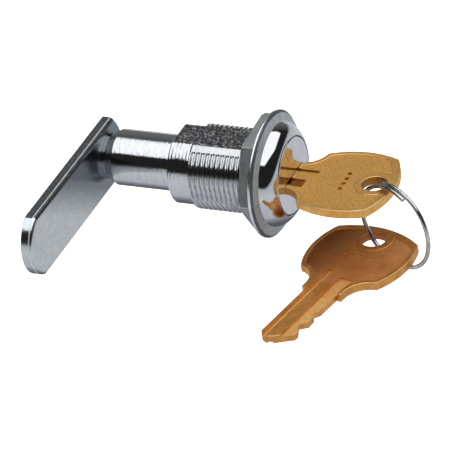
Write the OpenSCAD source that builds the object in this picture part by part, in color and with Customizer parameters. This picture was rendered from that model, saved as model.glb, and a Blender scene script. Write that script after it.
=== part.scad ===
// Cam lock with a long plug extension, a jam nut, a straight cam and two keys on a wire ring.
// Millimetres. The lock's axis is Y: the key goes in from -Y and the cam is at +Y.
// The origin is the centre of the flange's rear face, where it meets the panel.

/* [Body] */
// diameter of the panel flange
flange_d = 28.4; // [27:0.1:32]
// outside diameter of the barrel's thread
thread_d = 19.05; // [18.8:0.05:19.05]
// distance across the barrel's two flats
flats_w = 15.9; // [15.6:0.1:16.6]
// how far the thread runs behind the flange
thread_end = 16.4; // [15:0.2:18]
// length of the barrel behind the flange
barrel_len = 21.5; // [20.5:0.5:26]

/* [Plug] */
// diameter of the plug's core and of its extension
core_d = 12.7; // [12.7:0.1:12.8]
// diameter of the plug's face
face_d = 17.4; // [17:0.1:17.8]
// distance from the flange to the end of the round extension
extension_end = 36.6; // [26:0.5:60]

/* [Cam] */
// length of the cam from the lock's axis to its tip
cam_reach = 41.8; // [30:0.5:60]
// width of the cam
cam_w = 14.9; // [14:0.1:16.6]
// thickness of the cam
cam_t = 2.8; // [2:0.1:4]

/* [Key] */
// thickness of the key
key_t = 2.0; // [1.8:0.1:2]
// diameter of the hole in the key's bow
key_hole_d = 5.6; // [5.6:0.1:6]

/* [Nut] */
// distance across the nut's corners
nut_corners = 26.4; // [24:0.1:27.6]
// thickness of the nut
nut_t = 2.95; // [2.5:0.05:5]

/* [Hidden] */
round_fn = 96;
eps = 0.01;

// head
flange_t = 1.75;
flange_chamfer = [0.3, 0.2];
flange_rim_t = 0.5;
flange_slope = [0.6, 1.2];
face_y = -5.1;
head_gap = 0.15;
dome_base_r = 11.8;
dome_arc_r = 5;
head_floor = -1.6;

// thread, drawn as rings of the thread's own section
pitch = 1.155;
thread_depth = 0.5;
root_r = thread_d / 2 - thread_depth;
lead_r = 8.8;
thread_start = 0.6;

// plug and bore
core_r = core_d / 2;
bore_r = core_r + 0.07;
neck_r = 5.2;
neck_len = 1.7;
cam_y = extension_end + 2.5;
square_w = 6.5;
shank_r = 1.96;
tapped_r = 2;

// quarter-turn stop: a pin in the head's floor, in an arc slot on the back of the plug's face
stop_orbit = 7.5;
stop_r = 0.6;
stop_angle = -135;
stop_travel = 90;
stop_clear = 0.15;

// wafers
wafer_t = 1;
wafer_slot = 1.25;
wafer_pitch = 2.4;
wafer_first = 2.7;
wafer_count = 5;
wafer_half = 3.95;
wafer_r = core_r - 0.05;
wafer_lift = 0.9;
bay_low = 2.05;
bay_end = -4;
ear_x = 1;
window = [[-4.8, -1.25], [3.9, 1.25]];

// retainer
retainer_y = 19;
retainer_w = 5.5;
retainer_t = 1.1;
retainer_tip = 6.9;
retainer_foot = -3;
retainer_pocket = -5.6;
retainer_pocket_r = 1.1;

// key, in its own frame: u runs from the blade to the bow, v across it, towards the spine
key_stop_u = 2.6;
key_tip_u = -16.9;
bow_end_u = 28.85;
bow_end_r = 20;
bow_side_r = 19;
bow_side = [18.4, 7.05];
neck_arc_r = 5.65;
neck_arc = [3.9, 10.6];
neck_half = 4.95;
hole_u = 24.1;
boss_r = 4.5;
rim_side = 1.2;
rim_end = 1.9;
panel_start_u = 5.6;
panel_depth = 0.2;
narrow_groove = [1.8, 2.8, 10.35];
wide_groove = [-4.1, -1.15, 8.6];
under_groove = [0.3, 1.6, 8.2];
groove_depth = 0.5;
blade_half = 3.8;
blade_edge = [[-15.3, blade_half], [-16.5, 2.9], [key_tip_u, 1.6], [-16.4, 0.2], [-13.6, -3.6],
    [-12.3, -3.6], [-9.9, -2.2], [-8.4, -blade_half], [-6.1, -3.65], [-5.1, -2.9], [-3.6, -3.75],
    [0.6, -blade_half], [key_stop_u + 1, -blade_half], [key_stop_u + 1, blade_half]];
key_slack = 0.15;
// the keyway's middle plane, a little below the lock's axis
key_z = -0.7;

// ring and spare key
ring_centre = [-2.36, -29.09, -8.5];
ring_turn = -25;
ring_r = 10;
ring_wire_r = 0.53;
ring_start = -28;
ring_sweep = 410;
ring_step = 7;
ring_offset = -1;
ring_pitch = 1.14;
spare_hole = [0.1, -22.1, -15.5];
spare_turn = -11;

// nut
nut_y = 0.15;
nut_corner_angle = 3.7;
nut_bore_r = thread_d / 2 + 0.075;
nut_chamfer = 0.5;

// a solid of revolution about Z, laid along +Y
module along_y() { rotate([-90, 0, 0]) children(); }
module cyl_y(r, y0, y1) { translate([0, y0, 0]) along_y() cylinder(r = r, h = y1 - y0, $fn = round_fn); }
// a box given by its two corners
module box(a, b) { translate(a) cube(b - a); }
// a 2-D outline in X and Z, drawn from y0 to y1
module plate_y(y0, y1) {
    translate([0, y1, 0]) rotate([90, 0, 0]) linear_extrude(height = y1 - y0) children();
}

// ---- head and barrel ----
// the dome's arc passes through its base circle and the edge of the recess for the plug's face
recess_r = face_d / 2 + head_gap;
dome_a = [dome_base_r, -flange_t];
dome_b = [recess_r, face_y];
dome_mid = (dome_a + dome_b) / 2;
dome_chord = norm(dome_b - dome_a);
dome_drop = sqrt(pow(dome_arc_r, 2) - pow(dome_chord / 2, 2));
dome_dir = (dome_b - dome_a) / dome_chord;
dome_centre = dome_mid + dome_drop * [dome_dir[1], -dome_dir[0]];
dome_steps = 10;
dome_from = atan2(dome_a[1] - dome_centre[1], dome_a[0] - dome_centre[0]);
dome_to = atan2(dome_b[1] - dome_centre[1], dome_b[0] - dome_centre[0]);
dome_points = [for (i = [0:dome_steps])
    let (t = dome_from + (dome_to - dome_from) * i / dome_steps)
    dome_centre + dome_arc_r * [cos(t), sin(t)]];

// the flange has a thin rim, and slopes up from it to the foot of the dome
module head_profile() {
    edge_r = flange_d / 2;
    polygon(concat([[0, 0], [edge_r - flange_chamfer[0], 0], [edge_r, -flange_chamfer[1]],
        [edge_r, -flange_rim_t], [edge_r - flange_slope[0], -flange_slope[1]]],
        dome_points, [[0, face_y]]));
}

thread_rings = floor((thread_end - thread_start) / pitch);
thread_points = [for (i = [0:thread_rings - 1])
    let (y = thread_start + i * pitch)
    for (p = [[root_r, y], [root_r + thread_depth, y + pitch * 0.32],
        [root_r + thread_depth, y + pitch * 0.62], [root_r, y + pitch * 0.94]]) p];

module barrel_profile() {
    polygon(concat([[0, -eps], [root_r, -eps]], thread_points,
        [[root_r, thread_end - 0.3], [thread_d / 2, thread_end - 0.3], [thread_d / 2, thread_end],
        [lead_r, thread_end], [lead_r, barrel_len], [0, barrel_len]]));
}

module flat_slab() { box([-20, -eps, -flats_w / 2], [20, barrel_len + 1, flats_w / 2]); }

module wafer_grooves() {
    y0 = wafer_first - wafer_slot;
    y1 = wafer_first + (wafer_count - 1) * wafer_pitch + wafer_slot;
    reach = wafer_r + wafer_lift + 0.15;
    half = wafer_half + 0.35;
    box([0, y0, -half], [reach, y1, half]);
    box([-half, y0, -reach], [half, y1, 0]);
}

module housing() {
    color([0.78, 0.79, 0.82])
    difference() {
        union() {
            along_y() rotate_extrude($fn = round_fn) head_profile();
            intersection() {
                along_y() rotate_extrude($fn = round_fn) barrel_profile();
                flat_slab();
            }
        }
        cyl_y(recess_r, face_y - 1, head_floor);
        cyl_y(bore_r, head_floor - 1, barrel_len + 1);
        wafer_grooves();
        cyl_y(retainer_tip + 0.2, retainer_y - 0.75, retainer_y + 0.75);
        stop_at(stop_angle) cyl_y(stop_r, head_floor - 1, head_floor + 1);
    }
}

module stop_at(a) { rotate([0, -a, 0]) translate([stop_orbit, 0, 0]) children(); }

module stop_pin() {
    color([0.55, 0.55, 0.57])
    stop_at(stop_angle) cyl_y(stop_r, head_floor - 1.2, head_floor + 1);
}

module mounting_nut() {
    color([0.5, 0.52, 0.53])
    difference() {
        intersection() {
            rotate([0, -nut_corner_angle, 0]) translate([0, nut_y, 0]) along_y()
                cylinder(d = nut_corners, h = nut_t, $fn = 6);
            union() {
                cyl_y(nut_corners / 2 - nut_chamfer, nut_y, nut_y + nut_t);
                translate([0, nut_y, 0]) along_y()
                    cylinder(r1 = nut_corners / 2 + nut_t - nut_chamfer, r2 = nut_corners / 2 - nut_chamfer,
                        h = nut_t, $fn = round_fn);
            }
        }
        cyl_y(nut_bore_r, nut_y - 1, nut_y + nut_t + 1);
    }
}

// ---- plug ----
module keyway_section() {
    translate([0, key_z]) keyway_outline();
}

module keyway_outline() {
    half = blade_half + key_slack;
    top = key_t / 2 + key_slack;
    step = wide_groove[1] - key_slack;
    polygon([[-half, -top], [half, -top], [half, top], [narrow_groove[1] - key_slack, top],
        [narrow_groove[1] - key_slack, top - groove_depth + key_slack],
        [narrow_groove[0] + key_slack, top - groove_depth + key_slack],
        [narrow_groove[0] + key_slack, top], [step, top], [step, top - groove_depth + key_slack],
        [-half, top - groove_depth + key_slack]]);
}

module stop_slot() {
    w = stop_r + stop_clear;
    swing = 1.3;
    y0 = head_floor - 1.4;
    y1 = head_floor + 0.5;
    rotate([0, -(stop_angle + stop_travel + swing), 0]) translate([0, y1, 0]) rotate([90, 0, 0])
        rotate_extrude(angle = -stop_travel - 2 * swing, $fn = round_fn)
            translate([stop_orbit - w, 0]) square([2 * w, y1 - y0]);
    stop_at(stop_angle - swing) cyl_y(w, y0, y1);
    stop_at(stop_angle + stop_travel + swing) cyl_y(w, y0, y1);
}

module plug() {
    mouth = neck_half + key_slack;
    color([0.8, 0.81, 0.84])
    difference() {
        union() {
            cyl_y(face_d / 2, face_y, head_floor - 0.1);
            cyl_y(core_r, head_floor - 0.2, extension_end);
            translate([0, extension_end - eps, 0]) along_y()
                cylinder(r1 = core_r, r2 = neck_r, h = neck_len, $fn = round_fn);
            cyl_y(neck_r, extension_end + neck_len - eps, cam_y);
            box([-square_w / 2, cam_y - eps, -square_w / 2],
                [square_w / 2, cam_y + cam_t - 0.2, square_w / 2]);
        }
        plate_y(face_y - 1, -key_tip_u + 0.4) keyway_section();
        translate([0, 0, key_z])
            box([-mouth, face_y - 1, -key_t / 2 - key_slack],
                [mouth, -key_stop_u + 0.1, key_t / 2 + key_slack]);
        for (i = [0:wafer_count - 1]) {
            y = wafer_first + i * wafer_pitch;
            box([-core_r - 1, y - wafer_slot / 2, -wafer_half - 0.1],
                [core_r + 1, y + wafer_slot / 2, bay_low]);
            box([bay_end, y - wafer_slot / 2, bay_low - eps],
                [core_r + 1, y + wafer_slot / 2, wafer_half + 0.1]);
        }
        box([-retainer_w / 2 - 0.1, retainer_y - 0.65, retainer_foot - 0.2],
            [retainer_w / 2 + 0.1, retainer_y + 0.65, core_r + 1]);
        translate([0, retainer_y, retainer_pocket]) cylinder(r = retainer_pocket_r, h = 4, $fn = 48);
        stop_slot();
        cyl_y(tapped_r, cam_y - 8, cam_y + cam_t + 1);
    }
}

module wafer(i) {
    y = wafer_first + i * wafer_pitch;
    color([0.72, 0.6, 0.32])
    difference() {
        intersection() {
            cyl_y(wafer_r, y - wafer_t / 2, y + wafer_t / 2);
            union() {
                box([-core_r, y - wafer_t, -wafer_half], [core_r, y + wafer_t, bay_low - 0.1]);
                box([ear_x, y - wafer_t, 0], [core_r, y + wafer_t, wafer_half]);
            }
        }
        translate([0, 0, key_z])
            box([window[0][0], y - wafer_t, window[0][1]], [window[1][0], y + wafer_t, window[1][1]]);
    }
}
module wafer_1() { wafer(0); }
module wafer_2() { wafer(1); }
module wafer_3() { wafer(2); }
module wafer_4() { wafer(3); }
module wafer_5() { wafer(4); }

// a helical spring along +Z from the origin
function spring_ring(a, r, pitch_z, wire, sides) = [for (k = [0:sides - 1])
    let (b = 360 * k / sides)
    [(r + wire * cos(b)) * cos(a), (r + wire * cos(b)) * sin(a), a / 360 * pitch_z - wire * sin(b)]];
function tube_faces(n, sides) = concat(
    [for (i = [0:n - 2]) for (k = [0:sides - 1])
        let (a = i * sides + k, b = i * sides + (k + 1) % sides)
        for (f = [[a, b, b + sides], [a, b + sides, a + sides]]) f],
    [[for (k = [sides - 1:-1:0]) k], [for (k = [0:sides - 1]) (n - 1) * sides + k]]);

module spring(r, wire, len, turns) {
    sides = 5;
    steps = 8;
    n = turns * steps + 1;
    pitch_z = (len - 2 * wire) / turns;
    rings = [for (i = [0:n - 1]) each spring_ring(360 * i / steps, r, pitch_z, wire, sides)];
    translate([0, 0, wire]) polyhedron(points = rings, faces = tube_faces(n, sides));
}

module wafer_springs() {
    color([0.6, 0.62, 0.66])
    for (i = [0:wafer_count - 1])
        translate([bay_end + 0.05, wafer_first + i * wafer_pitch, (bay_low + wafer_half) / 2])
            rotate([0, 90, 0]) spring(0.42, 0.1, ear_x - bay_end - 0.1, 5);
}

module retainer_wafer() {
    color([0.7, 0.58, 0.3])
    intersection() {
        box([-retainer_w / 2, retainer_y - retainer_t / 2, retainer_foot],
            [retainer_w / 2, retainer_y + retainer_t / 2, 10]);
        cyl_y(retainer_tip, retainer_y - 1, retainer_y + 1);
    }
}

module retainer_spring() {
    color([0.6, 0.62, 0.66])
    translate([0, retainer_y, retainer_pocket + 0.05])
        spring(0.75, 0.14, retainer_foot - retainer_pocket - 0.1, 4);
}

// ---- cam and its fastening ----
cam_head_r = 10.7;
cam_head_x = -3.6;
cam_tip_r = 8.4;
cam_tip_x = -cam_reach + cam_tip_r;
screw_head_r = 4;
screw_rim = 1.6;
screw_dome = 0.8;
screw_recess = [2.2, 0.45];
washer_t = 0.6;
washer_r = 4.3;
washer_tip_r = 5;
washer_tooth = 0.6;
cam_back = cam_y + cam_t;

module cam_outline() {
    half = cam_w / 2;
    head_x = cam_head_x + sqrt(cam_head_r * cam_head_r - half * half);
    tip_x = cam_tip_x - sqrt(cam_tip_r * cam_tip_r - half * half);
    translate([tip_x, -half]) square([head_x - tip_x, cam_w]);
    intersection() {
        translate([cam_head_x, 0]) circle(r = cam_head_r, $fn = round_fn);
        translate([0, -half]) square([20, cam_w]);
    }
    intersection() {
        translate([cam_tip_x, 0]) circle(r = cam_tip_r, $fn = round_fn);
        translate([cam_tip_x - 20, -half]) square([20, cam_w]);
    }
}

module cam() {
    color([0.66, 0.69, 0.76])
    difference() {
        plate_y(cam_y, cam_back) cam_outline();
        hole = square_w / 2 + 0.05;
        box([-hole, cam_y - 1, -hole], [hole, cam_back + 1, hole]);
    }
}

module lock_washer() {
    teeth = 10;
    color([0.6, 0.61, 0.63])
    difference() {
        union() {
            cyl_y(washer_r, cam_back, cam_back + washer_t);
            for (i = [0:teeth - 1])
                rotate([0, 360 * i / teeth, 0])
                    box([washer_r - 0.3, cam_back, -washer_tooth],
                        [washer_tip_r, cam_back + washer_t, washer_tooth]);
        }
        cyl_y(shank_r + 0.15, cam_back - 1, cam_back + 2);
    }
}

module cam_screw() {
    head_y = cam_back + washer_t;
    color([0.68, 0.69, 0.72])
    difference() {
        union() {
            cyl_y(shank_r, cam_y - 7, head_y + 0.1);
            cyl_y(screw_head_r, head_y, head_y + screw_rim);
            translate([0, head_y + screw_rim - eps, 0]) along_y()
                cylinder(r1 = screw_head_r, r2 = screw_head_r - 0.9, h = screw_dome, $fn = round_fn);
        }
        for (a = [0, 90])
            rotate([0, a + 45, 0])
                box([-screw_recess[0], head_y + 1, -screw_recess[1]],
                    [screw_recess[0], head_y + 4, screw_recess[1]]);
    }
}

// ---- keys and ring ----
// the bow's outline, drawn in by w on the sides and by w_end at its end
module bow_outline(w, w_end) {
    difference() {
        intersection() {
            translate([bow_side[0], -bow_side[1]]) circle(r = bow_side_r - w, $fn = round_fn);
            translate(bow_side) circle(r = bow_side_r - w, $fn = round_fn);
            translate([bow_end_u - bow_end_r, 0]) circle(r = bow_end_r - w_end, $fn = round_fn);
            translate([key_stop_u, -15]) square([30, 30]);
        }
        for (s = [-1, 1]) {
            translate([neck_arc[0], s * neck_arc[1]]) circle(r = neck_arc_r + w, $fn = round_fn);
            translate([-6, s * (neck_half + 6) - 6]) square([6 + neck_arc[0], 12]);
        }
    }
}

module key_body() {
    half_t = key_t / 2;
    difference() {
        union() {
            translate([0, 0, -half_t]) linear_extrude(height = key_t) bow_outline(0, 0);
            translate([0, 0, -half_t]) linear_extrude(height = key_t) polygon(blade_edge);
        }
        translate([hole_u, 0, -5]) cylinder(d = key_hole_d, h = 10, $fn = round_fn);
        for (z = [half_t - panel_depth, -half_t - 1])
            translate([0, 0, z]) linear_extrude(height = 1 + panel_depth) panel_outline();
        box([-30, narrow_groove[0], half_t - groove_depth], [narrow_groove[2], narrow_groove[1], 5]);
        box([-30, wide_groove[0], half_t - groove_depth], [wide_groove[2], wide_groove[1], 5]);
        box([-30, under_groove[0], -5], [under_groove[2], under_groove[1], -half_t + groove_depth]);
        marks();
    }
}

module panel_outline() {
    difference() {
        bow_outline(rim_side, rim_end);
        translate([0, -15]) square([panel_start_u, 30]);
        translate([hole_u, 0]) circle(r = boss_r, $fn = round_fn);
    }
}

// a plain row of dimples where a key carries its number
module marks() {
    for (i = [-1.5:1:1.5])
        translate([17.2, 2 * i, key_t / 2 - panel_depth - 0.15]) cylinder(r = 0.4, h = 2, $fn = 24);
}

module key() {
    color([0.8, 0.6, 0.28]) translate([0, 0, key_z]) rotate([0, 0, -90]) key_body();
}

module spare_key() {
    color([0.7, 0.48, 0.22])
    translate(spare_hole) rotate([0, 0, spare_turn]) translate([-hole_u, 0, 0]) key_body();
}

// the ring hangs in an upright plane: 0 degrees is its top, and its ends lie side by side
function ring_section(a, sides) = [for (k = [0:sides - 1])
    let (b = 360 * k / sides, r = ring_r + ring_wire_r * cos(b))
    [ring_offset + ring_pitch * (a - ring_start) / 360 + ring_wire_r * sin(b), r * sin(a), r * cos(a)]];

module key_ring() {
    sides = 8;
    n = floor(ring_sweep / ring_step) + 1;
    rings = [for (i = [0:n - 1]) each ring_section(ring_start + i * ring_step, sides)];
    color([0.5, 0.5, 0.53])
    translate(ring_centre) rotate([0, 0, ring_turn])
        polyhedron(points = rings, faces = tube_faces(n, sides));
}

housing();
mounting_nut();
stop_pin();
plug();
wafer_1();
wafer_2();
wafer_3();
wafer_4();
wafer_5();
wafer_springs();
retainer_wafer();
retainer_spring();
cam();
lock_washer();
cam_screw();
key();
spare_key();
key_ring();
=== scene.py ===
# Cam lock with two keys on a wire ring: detailed pieces, materials, light and camera
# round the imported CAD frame. Lengths below are in millimetres unless a name says otherwise.
import bmesh
import bpy
import math
from mathutils import Matrix, Vector


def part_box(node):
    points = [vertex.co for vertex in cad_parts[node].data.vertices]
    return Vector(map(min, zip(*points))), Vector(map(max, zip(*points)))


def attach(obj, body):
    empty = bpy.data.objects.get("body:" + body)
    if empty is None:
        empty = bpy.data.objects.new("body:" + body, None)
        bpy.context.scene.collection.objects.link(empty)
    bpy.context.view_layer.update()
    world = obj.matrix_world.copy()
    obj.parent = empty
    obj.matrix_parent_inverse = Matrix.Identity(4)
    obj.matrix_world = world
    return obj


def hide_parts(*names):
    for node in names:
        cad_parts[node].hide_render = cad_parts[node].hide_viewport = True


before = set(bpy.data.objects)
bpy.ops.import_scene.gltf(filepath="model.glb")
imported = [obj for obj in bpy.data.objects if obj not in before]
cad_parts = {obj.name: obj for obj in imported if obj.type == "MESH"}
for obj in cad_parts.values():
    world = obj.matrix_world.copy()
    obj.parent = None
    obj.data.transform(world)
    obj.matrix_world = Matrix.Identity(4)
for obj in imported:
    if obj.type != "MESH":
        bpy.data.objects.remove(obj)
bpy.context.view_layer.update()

MM = 0.001
TURN = 2 * math.pi


# ---- sizes taken from the frame ----
def low(node):
    return Vector(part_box(node)[0]) / MM


def high(node):
    return Vector(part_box(node)[1]) / MM


FLANGE_R = high("housing").x
FACE_Y = low("plug").y
FACE_R = high("plug").x
BARREL_END = high("housing").y
NUT_FRONT = low("mounting_nut").y
NUT_BACK = high("mounting_nut").y
CAM_FRONT = low("cam").y
CAM_BACK = high("cam").y
CAM_TIP = low("cam").x
CAM_HEAD = high("cam").x
CAM_HALF = high("cam").z
WASHER_BACK = high("lock_washer").y
SCREW_END = high("cam_screw").y
KEY_Z = (low("key").z + high("key").z) / 2
KEY_T = high("key").z - low("key").z
SPARE_Z = (low("spare_key").z + high("spare_key").z) / 2


# ---- camera ----
CAMERA_AZIMUTH = math.radians(-62.51)
CAMERA_ELEVATION = math.radians(32.33)
CAMERA_ROLL = math.radians(-8.87)
CAMERA_SHIFT = (-10.390, -11.327)
CAMERA_DISTANCE = 961.0
LENS = 350.7


def make_camera():
    az, el, roll = CAMERA_AZIMUTH, CAMERA_ELEVATION, CAMERA_ROLL
    back = Vector((math.sin(az) * math.cos(el), -math.cos(az) * math.cos(el), math.sin(el)))
    right = Vector((math.cos(az), math.sin(az), 0))
    up = back.cross(right)
    side = math.cos(roll) * right + math.sin(roll) * up
    top = -math.sin(roll) * right + math.cos(roll) * up
    data = bpy.data.cameras.new("camera")
    data.lens = LENS
    data.sensor_width = 36
    data.clip_start = 0.1
    data.clip_end = 20
    camera = bpy.data.objects.new("camera", data)
    bpy.context.scene.collection.objects.link(camera)
    place = (CAMERA_SHIFT[0] * side + CAMERA_SHIFT[1] * top + CAMERA_DISTANCE * back) * MM
    turn = Matrix((side, top, back)).transposed().to_4x4()
    camera.matrix_world = Matrix.Translation(place) @ turn
    bpy.context.scene.camera = camera


# ---- node helpers ----
# sockets of a Mix node that mixes colours: its two inputs and its result
MIX_A, MIX_B, MIX_RESULT = 6, 7, 2
NOISE_ROUGHNESS = 0.55


class Nodes:
    """Adds and links nodes in one tree."""

    def __init__(self, tree):
        self.tree = tree

    def add(self, kind, inputs=None, **settings):
        node = self.tree.nodes.new("ShaderNode" + kind)
        for key, value in settings.items():
            setattr(node, key, value)
        for key, value in (inputs or {}).items():
            if isinstance(value, bpy.types.NodeSocket):
                self.tree.links.new(value, node.inputs[key])
            else:
                node.inputs[key].default_value = value
        return node

    def math(self, operation, a, b, clamp=False):
        return self.add("Math", {0: a, 1: b}, operation=operation, use_clamp=clamp).outputs[0]

    def ramp(self, value, *stops):
        """Maps a value to a colour, evenly between (position, colour) stops."""
        node = self.add("ValToRGB", {"Fac": value})
        elements = node.color_ramp.elements
        while len(elements) < len(stops):
            elements.new(0.5)
        for element, (place, colour) in zip(elements, stops):
            element.position = place
            element.color = (*colour, 1)
        return node.outputs["Color"]

    def mix(self, factor, a, b):
        """Mixes two colours, each a socket or an (r, g, b) constant."""
        inputs = {0: factor}
        for index, value in ((MIX_A, a), (MIX_B, b)):
            inputs[index] = value if isinstance(value, bpy.types.NodeSocket) else (*value, 1)
        return self.add("Mix", inputs, data_type="RGBA").outputs[MIX_RESULT]

    def dot(self, vector, direction):
        node = self.add("VectorMath", {0: vector, 1: direction}, operation="DOT_PRODUCT")
        return node.outputs["Value"]

    def noise(self, size, detail, stretch=None):
        """Noise whose spots are about size millimetres across, in the piece's own coordinates."""
        place = self.add("TexCoord").outputs["Object"]
        if stretch:
            place = self.add("Mapping", {"Vector": place, "Scale": stretch}).outputs[0]
        node = self.add("TexNoise", {"Vector": place, "Scale": 1 / (size * MM), "Detail": detail,
                                     "Roughness": NOISE_ROUGHNESS})
        return node.outputs["Fac"]

    def span(self, value, low_in, high_in, low_out=0, high_out=1):
        """Maps low_in..high_in to low_out..high_out, and holds the ends."""
        node = self.add("MapRange", {0: value, 1: low_in, 2: high_in, 3: low_out, 4: high_out})
        return node.outputs[0]


def new_material(name):
    made = bpy.data.materials.new(name)
    made.use_nodes = True
    made.node_tree.nodes.clear()
    return made, Nodes(made.node_tree)


# the parts of a noise's range over which tone and roughness go from one end to the other, and the width
# of a speck's soft edge
TONE_RANGE = (0.35, 0.65)
ROUGH_RANGE = (0.3, 0.7)
SPECK_EDGE = 0.06


def metal(name, light, dark, patch, rough, rough_patch, bumps, specks=None, shade=None, stretch=None):
    """A bare or plated metal.

    light and dark are its two tones in patches of patch mm. rough is a (low, high) pair in patches of
    rough_patch mm. bumps is a list of (size mm, height mm) layers. specks is (size mm, tone, share) for
    small bright or dark spots. shade is (direction, start mm, end mm, tone) for painted shade: the
    colour goes over to that darker tone along a direction. stretch scales the pattern's axes.
    """
    made, n = new_material(name)
    tone = n.mix(n.span(n.noise(patch, 4.0, stretch), *TONE_RANGE), dark, light)
    if specks:
        size, speck_tone, share = specks
        spot = n.span(n.noise(size, 2.0), 1 - share, 1 - share + SPECK_EDGE)
        tone = n.mix(spot, tone, speck_tone)
    # painted shade: the tone goes over to a darker one along a direction
    if shade:
        direction, start, end, painted_shade_tone = shade
        along = n.dot(n.add("TexCoord").outputs["Object"], direction)
        tone = n.mix(n.span(along, start * MM, end * MM), tone, painted_shade_tone)
    roughness = n.span(n.noise(rough_patch, 3.0, stretch), *ROUGH_RANGE, *rough)
    look = {"Base Color": tone, "Roughness": roughness, "Metallic": 1.0}
    for size, height in bumps:
        layer = {"Height": n.noise(size, 2.0, stretch), "Distance": height * MM, "Strength": 1.0}
        if "Normal" in look:
            layer["Normal"] = look["Normal"]
        look["Normal"] = n.add("Bump", layer).outputs[0]
    shader = n.add("BsdfPrincipled", look)
    n.add("OutputMaterial", {"Surface": shader.outputs[0]})
    return made


CHROME = metal("chrome", (0.66, 0.675, 0.7), (0.6, 0.61, 0.635), 2.5, (0.03, 0.08), 3.0,
               [(1.6, 0.004), (0.25, 0.0006)])
CHROME_TURNED = metal("chrome_turned", (0.66, 0.675, 0.7), (0.6, 0.61, 0.635), 1.5, (0.04, 0.1), 1.0,
                      [(2.2, 0.006), (0.6, 0.035), (0.25, 0.003)], stretch=(0.5, 1.6, 0.5))
CHROME_CAST = metal("chrome_cast", (0.42, 0.43, 0.45), (0.1, 0.1, 0.11), 0.8, (0.05, 0.16), 0.6,
                    [(0.9, 0.27), (0.35, 0.05)], specks=(0.7, (1.0, 1.0, 1.0), 0.47))
CHROME_THREAD = metal("chrome_thread", (0.6, 0.615, 0.64), (0.5, 0.505, 0.52), 0.9, (0.06, 0.16), 1.0,
                      [(0.9, 0.006), (0.2, 0.001)])
CHROME_SATIN = metal("chrome_satin", (0.66, 0.72, 0.75), (0.55, 0.605, 0.63), 2.0, (0.62, 0.74), 0.8,
                     [(0.5, 0.003), (0.14, 0.001)])
# the flange's sloped front edge, far darker than the rest of the chrome: painted shade for the dark band
# there
CHROME_SLOPE_SHADE = metal("chrome_slope_shade", (0.2, 0.228, 0.248), (0.155, 0.177, 0.193), 2.0, (0.5, 0.6), 0.8,
                     [(0.4, 0.004), (0.14, 0.001)])
# the flange's rim, lighter than the rest of the chrome: painted highlight for the bright line along its
# rear edge
CHROME_RIM_HIGHLIGHT = metal("chrome_rim_highlight", (0.9, 0.91, 0.93), (0.7, 0.71, 0.73), 1.2, (0.2, 0.34), 0.8,
                   [(0.4, 0.004)])
NUT_ZINC = metal("nut_zinc", (0.64, 0.68, 0.68), (0.55, 0.585, 0.58), 1.2, (0.36, 0.46), 0.8,
                 [(0.5, 0.004), (0.14, 0.0015)])
# lighter zinc along the nut's corners: painted highlight
NUT_CORNER_HIGHLIGHT = metal("nut_corner_highlight", (0.95, 0.97, 0.96), (0.75, 0.78, 0.77), 1.0, (0.3, 0.42), 0.8,
                 [(0.4, 0.004)])
CAM_ZINC = metal("cam_zinc", (0.64, 0.68, 0.7), (0.56, 0.6, 0.62), 5.0, (0.14, 0.24), 2.0,
                 [(1.4, 0.004), (0.18, 0.0008)])
# the cam's front darkens towards the shaft: painted shade, for the shaded table that it reflects there
CAM_FACE_SHADED = metal("cam_face_shaded", (0.66, 0.69, 0.69), (0.57, 0.6, 0.6), 3.0, (0.2, 0.3), 2.0,
                 [(1.4, 0.004), (0.2, 0.001)], shade=((1, 0, 1.5), -26.0, -13.0, (0.2, 0.22, 0.245)),
                 stretch=(1.0, 1.0, 3.0))
CAM_SHEARED = metal("cam_sheared", (0.4, 0.41, 0.43), (0.12, 0.125, 0.14), 0.35, (0.28, 0.45), 0.3,
                    [(0.3, 0.02)], stretch=(2.0, 0.6, 1.0))
# the upper part of the cam's rolled front edge, much darker than the zinc: painted shade, a dark
# reflection
CAM_ROLL_SHADE = metal("cam_roll_shade", (0.16, 0.17, 0.18), (0.09, 0.095, 0.105), 1.5, (0.3, 0.4), 0.8,
                 [(0.4, 0.006)])
# a white band on the cam's rolled front edge: painted highlight, an edge glint
CAM_HIGHLIGHT_LINE = metal("cam_highlight_line", (1.0, 1.0, 1.0), (0.85, 0.87, 0.9), 1.5, (0.55, 0.65), 0.8,
                 [(0.4, 0.006)])
STEEL = metal("steel", (0.62, 0.62, 0.63), (0.42, 0.42, 0.42), 1.5, (0.14, 0.28), 1.0,
              [(0.4, 0.003)])
BRASS = metal("brass", (1.0, 0.6, 0.19), (0.9, 0.49, 0.14), 2.0, (0.44, 0.54), 0.8,
              [(0.5, 0.004), (0.14, 0.003)])
BRASS_PANEL = metal("brass_panel", (1.0, 0.62, 0.19), (0.8, 0.43, 0.12), 0.5, (0.5, 0.62), 0.4,
                    [(0.35, 0.012), (0.12, 0.008)])
# the lock's key's groove and dimple floors, darkened: painted shade in the hollows
BRASS_GROOVE_SHADE = metal("brass_groove_shade", (0.5, 0.2, 0.04), (0.34, 0.12, 0.02), 1.2, (0.3, 0.45), 0.5,
                     [(0.3, 0.006)])
# bevelled edges: brass worn bright, lightened further as painted highlight
BRASS_EDGE_WEAR_AND_HIGHLIGHT = metal("brass_edge_wear_and_highlight", (1.0, 0.72, 0.33), (1.0, 0.64, 0.26), 1.0, (0.34, 0.44), 0.6,
                   [(0.3, 0.004)])
# the crease round the panel and the hole's wall, darkened: painted shadow
BRASS_CREASE_SHADOW = metal("brass_crease_shadow", (0.5, 0.24, 0.06), (0.36, 0.16, 0.035), 1.0, (0.45, 0.55), 0.6,
                     [(0.3, 0.004)])
COPPER_BRASS = metal("copper_brass", (0.84, 0.42, 0.12), (0.66, 0.3, 0.08), 2.0, (0.4, 0.5), 0.8,
                     [(0.5, 0.004), (0.14, 0.003)])
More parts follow.
